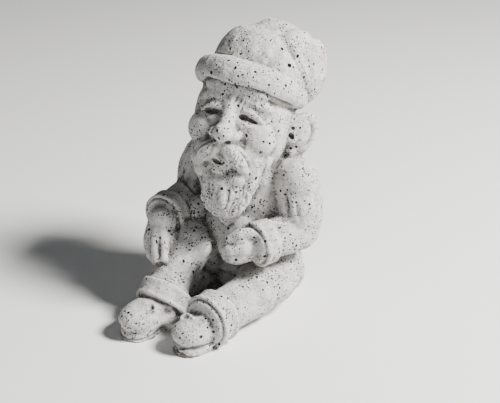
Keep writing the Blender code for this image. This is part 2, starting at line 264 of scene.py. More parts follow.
def eye_sockets():
    """Where the thumb pressed the clay in under the brows."""
    return [
        ball((13, -49, 0), (7, 8, 5), (0, 0, 14), HEAD),
        ball((-14, -49, 0), (8, 8, 6), (0, 0, -14), HEAD),
    ]


def moustache_masses():
    """Two thick lobes, and the lower lip and the chin that show under them."""
    lobe = [5.5, 8, 8, 4.5]
    return [
        roll([(2, -49, -28), (10, -49, -33), (18, -44, -40), (25, -36, -49)], lobe, HEAD),
        roll([(-2, -49, -28), (-10, -48, -33), (-18, -42, -40), (-26, -33, -49)], lobe, HEAD),
        ball((-3, -40, -51), (10, 6, 4), (0, 12, 0), HEAD),
        ball((2, -31, -62), (20, 13, 14), at=HEAD),
        ball((-17, -35, -53), (10, 7, 9), at=HEAD),
        ball((16, -37, -56), (10, 7, 9), at=HEAD),
    ]


def beard_masses():
    """Locks that run from the jaw down to the point."""
    roots = [
        (37, -22, -34),
        (30, -30, -46),
        (18, -36, -57),
        (4, -38, -62),
        (-12, -36, -58),
        (-27, -27, -47),
    ]
    lumps = [ball((6, -27, -72), (25, 14, 24), at=HEAD)]
    for index, (x, y, z) in enumerate(roots):
        swing = 3.0 if index % 2 else -2.0
        middle = (x * 0.62 + swing + 3, y * 0.9, (z - 100) * 0.5)
        low = (x * 0.26 + swing * 0.5 + 6, y * 0.45 - 6, -90)
        lumps.append(roll([(x, y, z), middle, low, (9, -12, -101)], [6, 7, 6, 3.5], HEAD))
    return lumps


def ear_frame(side):
    """The frame of one ear, which leans and stands out from the head."""
    turn = Euler((0.0, math.radians(EAR_LEAN) * side, math.radians(-EAR_FLARE) * side))
    return HEAD @ Matrix.Translation(EARS[side]) @ turn.to_matrix().to_4x4()


def ear_masses(side):
    """A broad smooth ear: a root that runs into the cheek, a soft rim, the lobe, and the flap in front."""
    at = ear_frame(side)
    rim = [(1, -11, 14), (3, -5, 19), (5, 3, 17), (6, 8, 8), (6, 7, -5), (4, 2, -14), (3, -4, -19)]
    return [
        ball((side * -4, -9, -2), (8, 12, 20), at=at),
        ball((side * -1, -12, 2), (7, 8, 17), at=at),
        roll([(side * x, y, z) for x, y, z in rim], [3, 3.6, 4.2, 4.4, 4.2, 4, 4], at),
        ball((side * 2, -5, -17), (6, 7, 7), at=at),
        ball((side * 3, -13, -5), (5, 5, 6), at=at),
    ]


def hand_masses():
    """The right hand hangs over the knee, fingers down. The left is a loose fist with the thumb on top."""
    right = [
        ([(-42, -38, 80), (-34, -46, 72), (-29, -52, 60)], [7, 6, 4.4]),
        ([(-48, -38, 80), (-42, -48, 71), (-37, -54, 58)], [7, 6, 4.6]),
        ([(-53, -36, 80), (-51, -45, 70), (-46, -52, 59)], [6.6, 5.6, 4.4]),
        ([(-58, -32, 80), (-58, -40, 71), (-54, -46, 61)], [6, 5.2, 4]),
    ]
    lumps = [roll(points, radii) for points, radii in right]
    lumps += [
        ball((-48, -31, 86), (15, 12, 14), (-20, 0, 10)),
        ball((34, -18, 78), (14, 12, 15), (0, 0, -20)),
        roll([(44, -14, 92), (36, -20, 91), (28, -25, 86)], [6, 6.4, 5]),
        roll([(40, -23, 78), (31, -28, 77), (23, -27, 75)], [5.5, 6, 5]),
        roll([(40, -22, 70), (31, -27, 69), (24, -26, 67)], [5.5, 6, 5]),
    ]
    return lumps


def jacket_masses():
    """Round shoulders, a low collar behind the neck, the belly, and the hem."""
    collar = [(36, 24, 150), (30, 62, 154), (0, 78, 154), (-30, 62, 154), (-36, 24, 148)]
    hem = [(50, 30, 36), (42, 66, 36), (0, 84, 36), (-43, 66, 36), (-50, 30, 38)]
    return [
        ball((58, 42, 128), (20, 21, 22)),
        ball((-53, 42, 126), (18, 20, 20)),
        ball((-38, 12, 84), (13, 24, 17)),
        ball((4, 14, 74), (34, 20, 30)),
        roll(collar, [5, 6, 6, 6, 5]),
        roll(hem, [6, 6, 5, 6, 6]),
    ]


def trouser_masses():
    """Thighs that run into the seat, and the raised knee."""
    return [
        roll([(42, 36, 33), (45, 16, 31), (43, -8, 29)], [24, 24, 22.5]),
        roll([(-38, 38, 34), (-36, 16, 42), (-30, -4, 58)], [26, 24, 22]),
        ball((-27, -14, 62), (22, 18, 20)),
    ]


# Each cuff and turn-up: its middle, the way the limb runs, its radius, half its length, and its firm ends.
BANDS = [
    ((36.4, -63.5, 24), (-6, -60, -3), 25, 10, (-1, 1)),
    ((-27.6, -56.5, 22), (3, -46, -39), 25, 10, (-1, 1)),
    ((47.4, -2.5, 79), (-14, -41, -2), 21, 8, (1,)),
    ((-54.6, -15.5, 87), (6, -54, -3), 21, 8, (-1, 1)),
]
# The width and depth of the stroke that sets off the near end (-1) and the far end (1) of a band.
EDGE_STROKES = {-1: (3.0, 1.6), 1: (3.6, 2.2)}


def band_masses():
    """Cuffs and turn-ups stand out from the cloth, with firm rolled edges."""
    lumps = []
    for middle, along, radius, half, ends in BANDS:
        along = Vector(along).normalized()
        for end in ends:
            ring = around(Vector(middle) + along * end * (half - 3.0), along, radius - 2.0)
            lumps.append(roll(ring, [3.4] * len(ring)))
    return lumps


def shoe_masses():
    """The uppers swell to the edge of the soles, and stop short of the floor."""
    lumps = []
    rim = [(-12, 40, 12), (-12, 20, 12), (-9, 8, 12), (0, 2, 12), (9, 8, 12), (12, 20, 12), (12, 40, 12)]
    for toe, turn in FEET:
        lumps.append(roll(rim, [5.5] * len(rim), turned(toe, turn)))
    return lumps


def bows():
    """A small knot and two soft loops on each shoe, under the turn-up."""
    lumps = []
    loop = [(1, -3, -1), (5, 0, 0), (9, -2, -2), (6, -5, -3), (1, -3, -1)]
    for middle, turn in BOWS:
        at = turned(middle, turn) @ Matrix.Scale(BOW_SIZE, 4)
        lumps.append(ball((0, -3, 0), (2.4, 2.4, 2.0), at=at))
        for side in (1, -1):
            lumps.append(roll([(side * x, y, z) for x, y, z in loop], [1.6, 1.8, 1.8, 1.8, 1.6], at))
    return lumps


def scoops():
    """What is cut out: the eye slits, nostrils, mouth and ears."""
    lumps = [
        ball((-1, -48.5, -44.5), (7.5, 5.5, 1.7), (0, 14, -6), HEAD),
        ball((19, -43, -1.2), (9.5, 6, 2.0), (0, 15, 24), HEAD),
        ball((12.5, -43.5, 0.2), (4.5, 6, 2.7), (0, 0, 14), HEAD),
        ball((-19, -42.5, -0.8), (8.5, 6, 3.0), (0, -8, -26), HEAD),
    ]
    for side in (1, -1):
        lumps += [
            ball((side * 6.5, -55, -24.5), (2.6, 3.6, 1.8), at=HEAD),
            ball((side * 49, -3, -9), (4.0, 3.4, 2.2), (0, side * 40, 0), HEAD),
        ]
    return lumps


# ---- Strokes of the modelling tool ----

# Past this many widths, a stroke leaves no mark.
STROKE_REACH = 2.2


class Skin:
    """The clay's points and normals in millimetres, and the strokes drawn on them."""

    def __init__(self, item):
        self.item = item
        self.count = len(item.data.vertices)
        self.refresh()

    def refresh(self):
        values = np.zeros(self.count * 3, np.float32)
        self.item.data.vertices.foreach_get("co", values)
        self.points = values.reshape(-1, 3).astype(float) / MM
        self.item.data.vertex_normals.foreach_get("vector", values)
        self.normals = values.reshape(-1, 3).astype(float)
        deselect()
        graph = bpy.context.evaluated_depsgraph_get()
        self.tree = BVHTree.FromObject(self.item, graph)

    def store(self):
        flat = (self.points * MM).astype(np.float32).reshape(-1)
        self.item.data.vertices.foreach_set("co", flat)
        self.item.data.update()

    def landed(self, path, at=WORLD):
        """The path's points brought to the nearest place on the clay."""
        found = []
        for point in path:
            hit = self.tree.find_nearest((at @ Vector(point)) * MM)
            found.append(np.array(hit[0]) / MM)
        return np.array(found)

    def stroke(self, path, width, depth, at=WORLD, taper=0.25, steps=4):
        """A groove along the path, or a ridge where the depth is below 0. It fades out at each end."""
        line = self.landed(smooth_path(path, steps), at)
        reach = width * STROKE_REACH
        low, high = line.min(0) - reach, line.max(0) + reach
        near = np.nonzero(((self.points > low) & (self.points < high)).all(1))[0]
        if not len(near):
            return
        points = self.points[near]
        best = np.full(len(near), 1e9)
        along = np.zeros(len(near))
        lengths = np.linalg.norm(np.diff(line, axis=0), axis=1)
        total = max(lengths.sum(), 1e-6)
        gone = 0.0
        for start, end, length in zip(line, line[1:], lengths):
            if length < 1e-6:
                continue
            share = np.clip((points - start) @ (end - start) / length**2, 0.0, 1.0)
            away = ((points - start - share[:, None] * (end - start)) ** 2).sum(1)
            closer = away < best
            best[closer] = away[closer]
            along[closer] = (gone + share[closer] * length) / total
            gone += length
        fade = np.clip(np.minimum(along, 1.0 - along) / max(taper, 1e-3), 0.0, 1.0)
        amount = depth * np.exp(-best / (width / 2) ** 2) * (0.25 + 0.75 * fade)
        self.points[near] -= self.normals[near] * amount[:, None]


def strands(skin, rng, roots, tips, rows, width, depth, wave, at=HEAD):
    """Wavy tool marks that run from one line of places to another, and fade where they run together."""
    roots, tips = smooth_path(roots, 8), smooth_path(tips, 8)
    for share in (np.arange(rows) + rng.uniform(-0.3, 0.3, rows) + 0.5) / rows:
        root = roots[int(share * (len(roots) - 1))]
        tip = tips[int(share * (len(tips) - 1))]
        across = np.cross(tip - root, (0, -1, 0))
        across /= np.linalg.norm(across)
        phase = share * 4.0 + rng.uniform(-0.4, 0.4)
        first, last = rng.uniform(0.0, 0.4), rng.uniform(0.65, 0.97)
        path = []
        for t in np.linspace(first, last, 8):
            sway = math.sin(phase + t * 9.0) * wave * math.sin(math.pi * min(max(t, 0.08), 0.92))
            path.append(root + (tip - root) * t + across * sway)
        skin.stroke(path, width * rng.uniform(0.8, 1.3), depth * rng.uniform(0.5, 1.1), at, taper=0.4)


def draw_hair(skin, rng):
    """Beard, moustache, brows and the hair under the hat."""
    jaw = [(38, -22, -28), (32, -32, -42), (18, -42, -54), (0, -46, -58), (-16, -42, -54), (-32, -28, -40)]
    point = [(24, -14, -88), (18, -18, -96), (12, -18, -101), (6, -18, -101), (0, -16, -96), (-8, -14, -88)]
    strands(skin, rng, jaw, point, 11, 3.4, 1.1, 3.0)
    strands(skin, rng, jaw, point, 12, 3.2, -0.9, 3.0)
    strands(skin, rng, jaw, point, 40, 2.0, 1.6, 2.6)
    for side in (1, -1):
        nose = [(side * 2, -58, -26), (side * 5, -57, -24), (side * 8, -54, -22)]
        ends = [(side * 16, -46, -48), (side * 24, -41, -52), (side * 30, -33, -48)]
        strands(skin, rng, nose, ends, 14, 2.0, 1.5, 1.2)
        inner = [(side * 5, -50, 10), (side * 16, -50, 12), (side * 27, -42, 8), (side * 35, -32, 1)]
        outer = [(side * 7, -48, 20), (side * 20, -47, 20), (side * 32, -38, 14), (side * 40, -27, 6)]
        strands(skin, rng, inner, outer, 15, 1.3, 0.7, 0.4)
        temple = [(side * 46, -12, 16), (side * 47, -4, 16), (side * 44, 14, 16)]
        jowl = [(side * 40, -22, -28), (side * 44, -14, -26), (side * 44, -4, -28)]
        strands(skin, rng, temple, jowl, 8, 1.6, 0.5, 1.0)
    crown = [(44, 18, 8), (30, 44, 6), (0, 52, 6), (-30, 44, 6), (-46, 18, 8)]
    nape = [(40, 22, -34), (26, 38, -36), (0, 44, -36), (-26, 38, -36), (-40, 22, -34)]
    strands(skin, rng, crown, nape, 34, 2.2, 1.1, 2.0)


def draw_face(skin):
    """Wrinkles and the creases beside the nose and under the lids."""
    for side in (1, -1):
        skin.stroke([(side * 11, -50, -12), (side * 17, -45, -21), (side * 21, -42, -32)], 4.0, 1.4, HEAD)
        skin.stroke([(side * 30, -36, -3), (side * 35, -30, 0), (side * 39, -24, 4)], 2.2, 0.9, HEAD)
        skin.stroke([(side * 13, -46, 8.5), (side * 22, -44, 7.5), (side * 30, -37, 2)], 2.0, 0.7, HEAD)
        for x in (2.5, 6, 10):
            frown = [(side * x, -49, 9), (side * (x + 1), -48, 14), (side * (x + 2), -46, 20)]
            skin.stroke(frown, 2.0, 0.7, HEAD)


def draw_brim_edge(skin):
    """The deep crease where the brim sits on the forehead."""
    crease = [
        (-37, -26, 27),
        (-25, -38, 30),
        (-8, -43, 31),
        (8, -44, 30),
        (24, -40, 27),
        (37, -29, 23),
        (47, -12, 18),
    ]
    skin.stroke(crease, 3.6, 2.6, HEAD, taper=0.1)


def draw_soles(skin):
    """The lower edge of each sole, drawn in so that the shoe rounds down to the floor, and its welt."""
    edge = [(-19, 34, 3), (-18, 12, 3), (-12, -3, 3), (0, -9, 3), (12, -3, 3), (18, 12, 3), (19, 34, 3)]
    welt = [(x * 1.02, y, 8.0) for x, y, _ in edge]
    for toe, turn in FEET:
        at = turned(toe, turn)
        skin.stroke(edge, 6.0, 2.6, at)
        skin.stroke(welt, 1.8, 0.8, at)


def draw_ears(skin):
    """A shallow dish inside each rim."""
    dish = [(8, -6, 10), (9, 0, 12), (10, 4, 5), (10, 3, -5), (9, -2, -11)]
    for side in (1, -1):
        at = ear_frame(side)
        skin.stroke([(side * x, y, z) for x, y, z in dish], 5.5, 1.6, at)


# Creases in the cloth and between the fingers: the path, the width and the depth, below 0 for a ridge.
FOLDS = [
    # The hat, and its end that folds over behind.
    ([(30, 52, 258), (40, 52, 246), (45, 56, 230), (44, 64, 214), (40, 72, 198)], 6.0, 1.8),
    ([(37, 58, 238), (42, 60, 228), (40, 64, 216)], 3.4, 0.9),
    ([(30, 44, 240), (36, 48, 232), (38, 54, 222)], 3.8, 0.5),
    ([(14, 38, 256), (22, 32, 248), (32, 30, 240)], 6.0, 0.7),
    ([(-20, 84, 258), (-10, 98, 248), (-4, 106, 230), (0, 110, 212)], 6.0, 2.0),
    ([(20, 90, 254), (18, 104, 240), (14, 110, 222)], 5.0, 1.6),
    # The left sleeve, with the deep fold inside its elbow.
    ([(40, 14, 97), (50, 10, 98), (62, 16, 100)], 3.0, 1.4),
    ([(56, 17, 124), (60, 14, 112), (62, 14, 103)], 4.8, 4.2),
    ([(44, 6, 100), (52, 6, 101), (62, 12, 103)], 4.0, -1.6),
    ([(70, 20, 118), (72, 18, 108), (72, 22, 100)], 4.0, 1.2),
    # The right sleeve.
    ([(-40, 12, 104), (-54, 14, 102), (-68, 24, 106)], 4.5, 2.0),
    ([(-62, 20, 120), (-66, 18, 110), (-70, 22, 102)], 5.0, 1.6),
    # The backs of both sleeves.
    ([(62, 50, 146), (70, 56, 128), (74, 58, 108)], 4.0, 0.6),
    ([(-62, 52, 146), (-70, 56, 128), (-74, 58, 108)], 4.0, 0.8),
    # The seam down the back of the jacket, and the folds beside it.
    ([(0, 78, 146), (2, 88, 110), (0, 90, 70), (1, 88, 40)], 4.0, 1.5),
    ([(-26, 84, 60), (-14, 88, 72), (0, 90, 84)], 5.0, 1.2),
    ([(26, 84, 60), (15, 88, 74), (2, 90, 88)], 5.0, 1.2),
    # The trousers.
    ([(-44, -12, 78), (-52, -2, 66), (-52, 10, 54)], 4.0, 1.2),
    ([(-34, 4, 76), (-30, 10, 62), (-22, 16, 52)], 4.5, 1.8),
    ([(30, -6, 46), (44, 4, 52), (58, 14, 48)], 5.0, 0.8),
    ([(-8, -28, 58), (-10, -40, 46), (-12, -50, 38)], 4.0, 0.8),
    # Between the fingers of the right hand, and then of the left.
    ([(-37, -44, 75), (-34, -48, 66), (-32, -52, 58)], 2.6, 1.2),
    ([(-46, -45, 76), (-44, -50, 67), (-42, -54, 59)], 2.6, 1.5),
    ([(-55, -40, 74), (-53, -45, 67), (-50, -49, 60)], 2.6, 1.3),
    ([(42, -23, 84), (35, -27, 83), (27, -29, 80)], 3.0, 0.6),
    ([(40, -27, 74), (32, -31, 73), (24, -30, 71)], 3.0, 0.5),
]


def draw_cloth(skin):
    """The folds, and the edges of the cuffs and turn-ups."""
    for path, width, depth in FOLDS:
        skin.stroke(path, width, depth)
    for middle, along, radius, half, ends in BANDS:
        along = Vector(along).normalized()
        for end in ends:
            width, depth = EDGE_STROKES[end]
            ring = around(Vector(middle) + along * end * (half + 1.5), along, radius - 1.5)
            for first in range(0, 12, 3):
                skin.stroke(ring[first : first + 4], width, depth, taper=0.01)


# ---- The stone's own surface ----

# Corners along each side of the noise lattice, and a shift that keeps every place on it above 0.
LATTICE = 64
LATTICE_SHIFT = 1000.0


def value_noise(points, cell, seed):
    """Smooth noise from -1 to 1, from a random value on each corner of a lattice of cells."""
    rng = np.random.default_rng(seed)
    table = rng.uniform(-1.0, 1.0, (LATTICE, LATTICE, LATTICE))
    scaled = points / cell + LATTICE_SHIFT
    whole = np.floor(scaled).astype(int)
    part = scaled - whole
    part = part * part * (3.0 - 2.0 * part)
    total = np.zeros(len(points))
    for corner in np.ndindex(2, 2, 2):
        weight = np.ones(len(points))
        for axis in range(3):
            weight *= part[:, axis] if corner[axis] else 1.0 - part[:, axis]
        index = (whole + corner) % LATTICE
        total += weight * table[index[:, 0], index[:, 1], index[:, 2]]
    return total


def weather(skin):
    """The hand-made unevenness of a casting: waves 17 mm and 7 mm long, and grit of 2.6 mm and 1.3 mm."""
    swell = value_noise(skin.points, 17.0, 1) * 0.55 + value_noise(skin.points, 7.0, 2) * 0.28
    grit = value_noise(skin.points, 2.6, 3) * 0.2 + value_noise(skin.points, 1.3, 4) * 0.1
    skin.points += skin.normals * (swell + grit)[:, None]


# Rounds of smoothing and their weight, for hollows a few millimetres wide up to about 2 cm.
RECESS_SCALES = ((5, 2.6), (16, 1.4), (36, 0.9))
RECESS_GAIN = 1.1


def mark_recesses(item):
    """Stores how deep each point lies in a hollow, from 0 to 1, for the painted shade, the dirt and the
    painted highlight in the stone's finish.
    """
    mesh = item.data
    count = len(mesh.vertices)
    points = np.zeros(count * 3, np.float32)
    normals = np.zeros(count * 3, np.float32)
    mesh.vertices.foreach_get("co", points)
    mesh.vertex_normals.foreach_get("vector", normals)
    points = points.reshape(-1, 3).astype(float) / MM
    normals = normals.reshape(-1, 3).astype(float)
    edges = np.zeros(len(mesh.edges) * 2, np.int32)
    mesh.edges.foreach_get("vertices", edges)
    edges = edges.reshape(-1, 2)
    degree = np.bincount(edges.reshape(-1), minlength=count)[:, None].clip(1)
    soft = points.copy()
    total = np.zeros(count)
    for rounds, weight in RECESS_SCALES:
        for _ in range(rounds):
            summed = np.zeros_like(soft)
            for axis in range(3):
                summed[:, axis] = np.bincount(edges[:, 0], soft[edges[:, 1], axis], count)
                summed[:, axis] += np.bincount(edges[:, 1], soft[edges[:, 0], axis], count)
            soft = summed / degree
        total += ((soft - points) * normals).sum(1) / math.sqrt(rounds) * weight
    depth = np.clip(total * RECESS_GAIN, -1.0, 1.0) * 0.5 + 0.5
    attribute = mesh.attributes.new("recess", "FLOAT", "POINT")
    attribute.data.foreach_set("value", depth.astype(np.float32))


def keep_in_box(skin):
    """Brings back whatever reaches past the frame's own box, which also makes the underside flat."""
    low, high = (np.array(corner) / MM for corner in CAD_BOX)
    skin.points = np.clip(skin.points, low, high)


# ---- Parting the casting into its pieces ----

SETTLING_ROUNDS = 10


def settled(mesh, label, kinds):
    """Gives each face its neighbours' commonest label, over and over, so that borders run smooth."""
    count = len(label)
    loops = np.zeros(len(mesh.loops), np.int32)
    mesh.loops.foreach_get("edge_index", loops)
    totals = np.zeros(count, np.int32)
    mesh.polygons.foreach_get("loop_total", totals)
    faces = np.repeat(np.arange(count), totals)
    order = np.argsort(loops, kind="stable")
    pairs = faces[order].reshape(-1, 2)
    for _ in range(SETTLING_ROUNDS):
        votes = np.bincount(np.arange(count) * kinds + label, minlength=count * kinds) * 2
        votes += np.bincount(pairs[:, 0] * kinds + label[pairs[:, 1]], minlength=count * kinds)
        votes += np.bincount(pairs[:, 1] * kinds + label[pairs[:, 0]], minlength=count * kinds)
        label = votes.reshape(count, kinds).argmax(1)
    return label


def nearest_nodes(mesh, names):
    """The frame's solid that lies nearest to each face."""
    corners, triangles, owner = [], [], []
    for index, name in enumerate(names):
        solid = frame["nodes"][name].data
        first = len(corners)
        corners += [vertex.co.copy() for vertex in solid.vertices]
        for polygon in solid.polygons:
            triangles.append([first + corner for corner in polygon.vertices])
            owner.append(index)
    tree = BVHTree.FromPolygons(corners, triangles)
    return np.array([owner[tree.find_nearest(polygon.center)[2]] for polygon in mesh.polygons])


def part_into_pieces(clay, finish):
    """One piece for each solid of the frame: the skin nearest to it, with a wall behind it."""
    names = sorted(frame["nodes"])
    mesh = clay.data
    label = settled(mesh, nearest_nodes(mesh, names), len(names))
    mesh.materials.clear()
    for name in names:
        mesh.materials.append(bpy.data.materials.new("piece_" + name))
    mesh.polygons.foreach_set("material_index", label.astype(np.int32))
    activate(clay)
    bpy.ops.object.mode_set(mode="EDIT")
    bpy.ops.mesh.select_all(action="SELECT")
    bpy.ops.mesh.separate(type="MATERIAL")
    bpy.ops.object.mode_set(mode="OBJECT")
    for item in list(bpy.context.selected_objects):
        name = item.data.materials[0].name.removeprefix("piece_")
        close_off(item)
        item.data.materials.clear()
        item.data.materials.append(finish)
        item.name = item.data.name = name + "_cast"
        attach(item, "root")
        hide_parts(name)


def close_off(item):
    """Gives the piece a wall of stone behind its skin, so that it is closed and its borders look sharp."""
    activate(item)
    bpy.ops.object.mode_set(mode="EDIT")
    bpy.ops.mesh.select_mode(type="EDGE")
    bpy.ops.mesh.select_all(action="DESELECT")
    bpy.ops.mesh.select_non_manifold(
        extend=False,
        use_wire=False,
        use_multi_face=False,
        use_non_contiguous=False,
        use_verts=False,
    )
    bpy.ops.mesh.mark_sharp()
    bpy.ops.object.mode_set(mode="OBJECT")
    apply_modifier(item, "SOLIDIFY", thickness=PIECE_WALL * MM, offset=-1.0)
    skin = Skin(item)
    keep_in_box(skin)
    skin.store()
    bpy.ops.object.shade_smooth()


# ---- Finish ----

def hex_colour(text):
    """A colour written as sRGB hex, as the renderer's linear values."""
    parts = [int(text[i : i + 2], 16) / 255.0 for i in (1, 3, 5)]
    linear = [p / 12.92 if p <= 0.04045 else ((p + 0.055) / 1.055) ** 2.4 for p in parts]
    return (*linear, 1.0)


CEMENT = hex_colour("#a6a4a1")
WARM_CEMENT = hex_colour("#b5b3ae")
WHITEWASH = hex_colour("#cfcecb")
# Lighter grey for high places: a painted highlight, with some wear.
RUBBED_AND_HIGHLIGHT = hex_colour("#d6d5d3")
# Darker greys for the hollows: painted shade, with some dirt.
DUST_AND_SHADE = hex_colour("#6d6a66")
DIRT_AND_SHADE = hex_colour("#35322f")
PALE_GRAIN = hex_colour("#e4e3e0")
DARK_GRAIN = hex_colour("#77746f")
# Near black for the pits: painted shade inside them.
PIT_SHADE = hex_colour("#161413")


def add_node(tree, kind, settings, feeds, output=0):
    """Adds a node with its settings, and gives each numbered or named input a value or a link."""
    node = tree.nodes.new(kind)
    for key, value in settings.items():
        setattr(node, key, value)
    for key, value in feeds.items():
        if isinstance(value, bpy.types.NodeSocket):
            tree.links.new(value, node.inputs[key])
        else:
            node.inputs[key].default_value = value
    return node.outputs[output]


def cast_stone():
    """Aged cast concrete: pale grey with a worn whitewash, sandy and pitted; painted shade and dirt in the
    hollows, a painted highlight and wear on high places.
    """
    material = bpy.data.materials.new("cast_stone")
    material.use_nodes = True
    tree = material.node_tree
    tree.nodes.clear()
    soft = {"interpolation_type": "SMOOTHSTEP"}
    mix = {"data_type": "RGBA"}
    times = {"operation": "MULTIPLY"}

    place = add_node(tree, "ShaderNodeTexCoord", {}, {}, "Object")
    place = add_node(tree, "ShaderNodeVectorMath", {"operation": "SCALE"}, {0: place, "Scale": 1.0 / MM})
    recess = add_node(tree, "ShaderNodeAttribute", {"attribute_name": "recess"}, {}, "Fac")
    pit = add_node(tree, "ShaderNodeAttribute", {"attribute_name": "pit"}, {}, "Fac")

    # Grey cement with warmer clouds 22 mm across, and a whitewash that has worn off in 8 mm patches.
    clouds = add_node(tree, "ShaderNodeTexNoise", {}, {"Vector": place, "Scale": 1 / 22, "Detail": 3.0})
    clouds = add_node(tree, "ShaderNodeMapRange", soft, {0: clouds, 1: 0.38, 2: 0.62})
    colour = add_node(tree, "ShaderNodeMix", mix, {0: clouds, 6: CEMENT, 7: WARM_CEMENT}, 2)
    wash = add_node(tree, "ShaderNodeTexNoise", {}, {"Vector": place, "Scale": 1 / 8, "Detail": 5.0})
    wash = add_node(tree, "ShaderNodeMapRange", soft, {0: wash, 1: 0.45, 2: 0.62, 4: 0.55})
    colour = add_node(tree, "ShaderNodeMix", mix, {0: wash, 6: colour, 7: WHITEWASH}, 2)

    # High places lighter with wear and a painted highlight, and the hollows darker with dirt and painted
    # shade, which breaks up over 5 mm.
    breakup = add_node(tree, "ShaderNodeTexNoise", {}, {"Vector": place, "Scale": 1 / 5, "Detail": 3.0})
    breakup = add_node(tree, "ShaderNodeMapRange", {}, {0: breakup, 1: 0.3, 2: 0.7, 3: -0.06, 4: 0.06})
    hollow = add_node(tree, "ShaderNodeMath", {"operation": "ADD"}, {0: recess, 1: breakup})
    # Painted highlight with some wear: the high places are lighter.
    rubbed_and_highlight_mask = add_node(tree, "ShaderNodeMapRange", soft, {0: hollow, 1: 0.2, 2: 0.44, 3: 0.5, 4: 0.0})
    colour = add_node(tree, "ShaderNodeMix", mix, {0: rubbed_and_highlight_mask, 6: colour, 7: RUBBED_AND_HIGHLIGHT}, 2)
    # Painted shade with some dirt: the deeper the hollow, the darker the stone.
    dust_and_shade_mask = add_node(tree, "ShaderNodeMapRange", soft, {0: hollow, 1: 0.54, 2: 0.86, 4: 0.6})
    colour = add_node(tree, "ShaderNodeMix", mix, {0: dust_and_shade_mask, 6: colour, 7: DUST_AND_SHADE}, 2)
    dirt_and_shade_mask = add_node(tree, "ShaderNodeMapRange", soft, {0: hollow, 1: 0.75, 2: 1.06, 4: 0.75})
    colour = add_node(tree, "ShaderNodeMix", mix, {0: dirt_and_shade_mask, 6: colour, 7: DIRT_AND_SHADE}, 2)

    # Sand grains 1.2 mm across, light and dark. Real grains are finer, and these are drawn to show.
    grains = add_node(tree, "ShaderNodeTexNoise", {}, {"Vector": place, "Scale": 1 / 1.2, "Detail": 2.0})
    sandy = add_node(tree, "ShaderNodeTexNoise", {}, {"Vector": place, "Scale": 1 / 18, "Detail": 3.0})
    sandy = add_node(tree, "ShaderNodeMapRange", soft, {0: sandy, 1: 0.4, 2: 0.6, 3: 0.3, 4: 1.0})
    light = add_node(tree, "ShaderNodeMapRange", soft, {0: grains, 1: 0.55, 2: 0.7, 4: 0.35})
    colour = add_node(tree, "ShaderNodeMix", mix, {0: light, 6: colour, 7: PALE_GRAIN}, 2)
    dark = add_node(tree, "ShaderNodeMapRange", soft, {0: grains, 1: 0.3, 2: 0.46, 3: 1.0, 4: 0.0})
    dark = add_node(tree, "ShaderNodeMath", times, {0: dark, 1: sandy})
    colour = add_node(tree, "ShaderNodeMix", mix, {0: dark, 6: colour, 7: DARK_GRAIN}, 2)

    # Pin-holes too small to cut, in clusters 13 mm across, and the cut pits, all painted near black as
    # painted shade inside them.
    cells = add_node(tree, "ShaderNodeTexVoronoi", {}, {"Vector": place, "Scale": 1 / 2.8}, "Distance")
    cluster = add_node(tree, "ShaderNodeTexNoise", {}, {"Vector": place, "Scale": 1 / 13, "Detail": 2.0})
    cluster = add_node(tree, "ShaderNodeMapRange", {}, {0: cluster, 1: 0.4, 2: 0.6, 3: 0.04, 4: 0.31})
    hole = add_node(tree, "ShaderNodeMath", {"operation": "LESS_THAN"}, {0: cells, 1: cluster})
    # Painted shade: the pin-holes and the cut pits are coloured near black.
    pit_shade_mask = add_node(tree, "ShaderNodeMath", {"operation": "MAXIMUM"}, {0: hole, 1: pit})
    pit_shade_mask = add_node(tree, "ShaderNodeMath", times, {0: pit_shade_mask, 1: 0.9})
    colour = add_node(tree, "ShaderNodeMix", mix, {0: pit_shade_mask, 6: colour, 7: PIT_SHADE}, 2)

    # Roughness under the fingers: lumps 2.4 mm across, the grains, and the pin-holes.
    lumps = add_node(tree, "ShaderNodeTexNoise", {}, {"Vector": place, "Scale": 1 / 2.4, "Detail": 4.0})
    grit = add_node(tree, "ShaderNodeMath", times, {0: grains, 1: 0.4})
    height = add_node(tree, "ShaderNodeMath", {"operation": "ADD"}, {0: lumps, 1: grit})
    height = add_node(tree, "ShaderNodeMath", {"operation": "SUBTRACT"}, {0: height, 1: hole})
    bump = add_node(tree, "ShaderNodeBump", {}, {"Strength": 0.8, "Distance": 0.5 * MM, "Height": height})
    finish = {"Base Color": colour, "Roughness": 0.93, "Specular IOR Level": 0.25, "Normal": bump}
    surface = add_node(tree, "ShaderNodeBsdfPrincipled", {}, finish)
    tree.links.new(surface, tree.nodes.new("ShaderNodeOutputMaterial").inputs["Surface"])
    return material


# ---- The figure ----

def subtract(clay, cutter):
    """Scoops the cutter out of the clay."""
    apply_modifier(clay, "BOOLEAN", operation="DIFFERENCE", solver="MANIFOLD", object=cutter)
    bpy.data.objects.remove(cutter)


def press(clay, lumps, voxel):
    """Takes the lumps out of the clay and makes its skin even again."""
    cutter = joined(lumps)
    fuse(cutter, voxel)
    subtract(clay, cutter)
    fuse(clay, voxel)


def model_figure():
    """The whole figure in clay, up to the fine unevenness of its skin."""
    lumps = hat_masses() + face_masses() + moustache_masses() + beard_masses() + hand_masses()
    lumps += jacket_masses() + trouser_masses() + shoe_masses() + band_masses()
    for side in (1, -1):
        lumps += ear_masses(side)
    clay = joined([core(), *lumps])
    clay.name = "clay"
    fuse(clay, RUBBED_VOXEL)
    rub(clay, 5)
    press(clay, eye_sockets(), RUBBED_VOXEL)
    rub(clay, 2)
    clay = joined([clay, *bows(), *eyelids(1), *eyelids(-1)])
    fuse(clay, FINE_VOXEL)
    rub(clay, 2)
    press(clay, scoops(), FINE_VOXEL)
    rub(clay, 1)

    skin = Skin(clay)
    skin.points -= skin.normals * CORE_OVERLAP
    skin.store()
    skin.refresh()
    draw_cloth(skin)
    draw_face(skin)
    draw_ears(skin)
    draw_soles(skin)
    draw_brim_edge(skin)
    skin.store()
    skin.refresh()
    draw_hair(skin, np.random.default_rng(7))
    skin.store()
    skin.refresh()
    weather(skin)
    keep_in_box(skin)
    skin.store()
    return clay


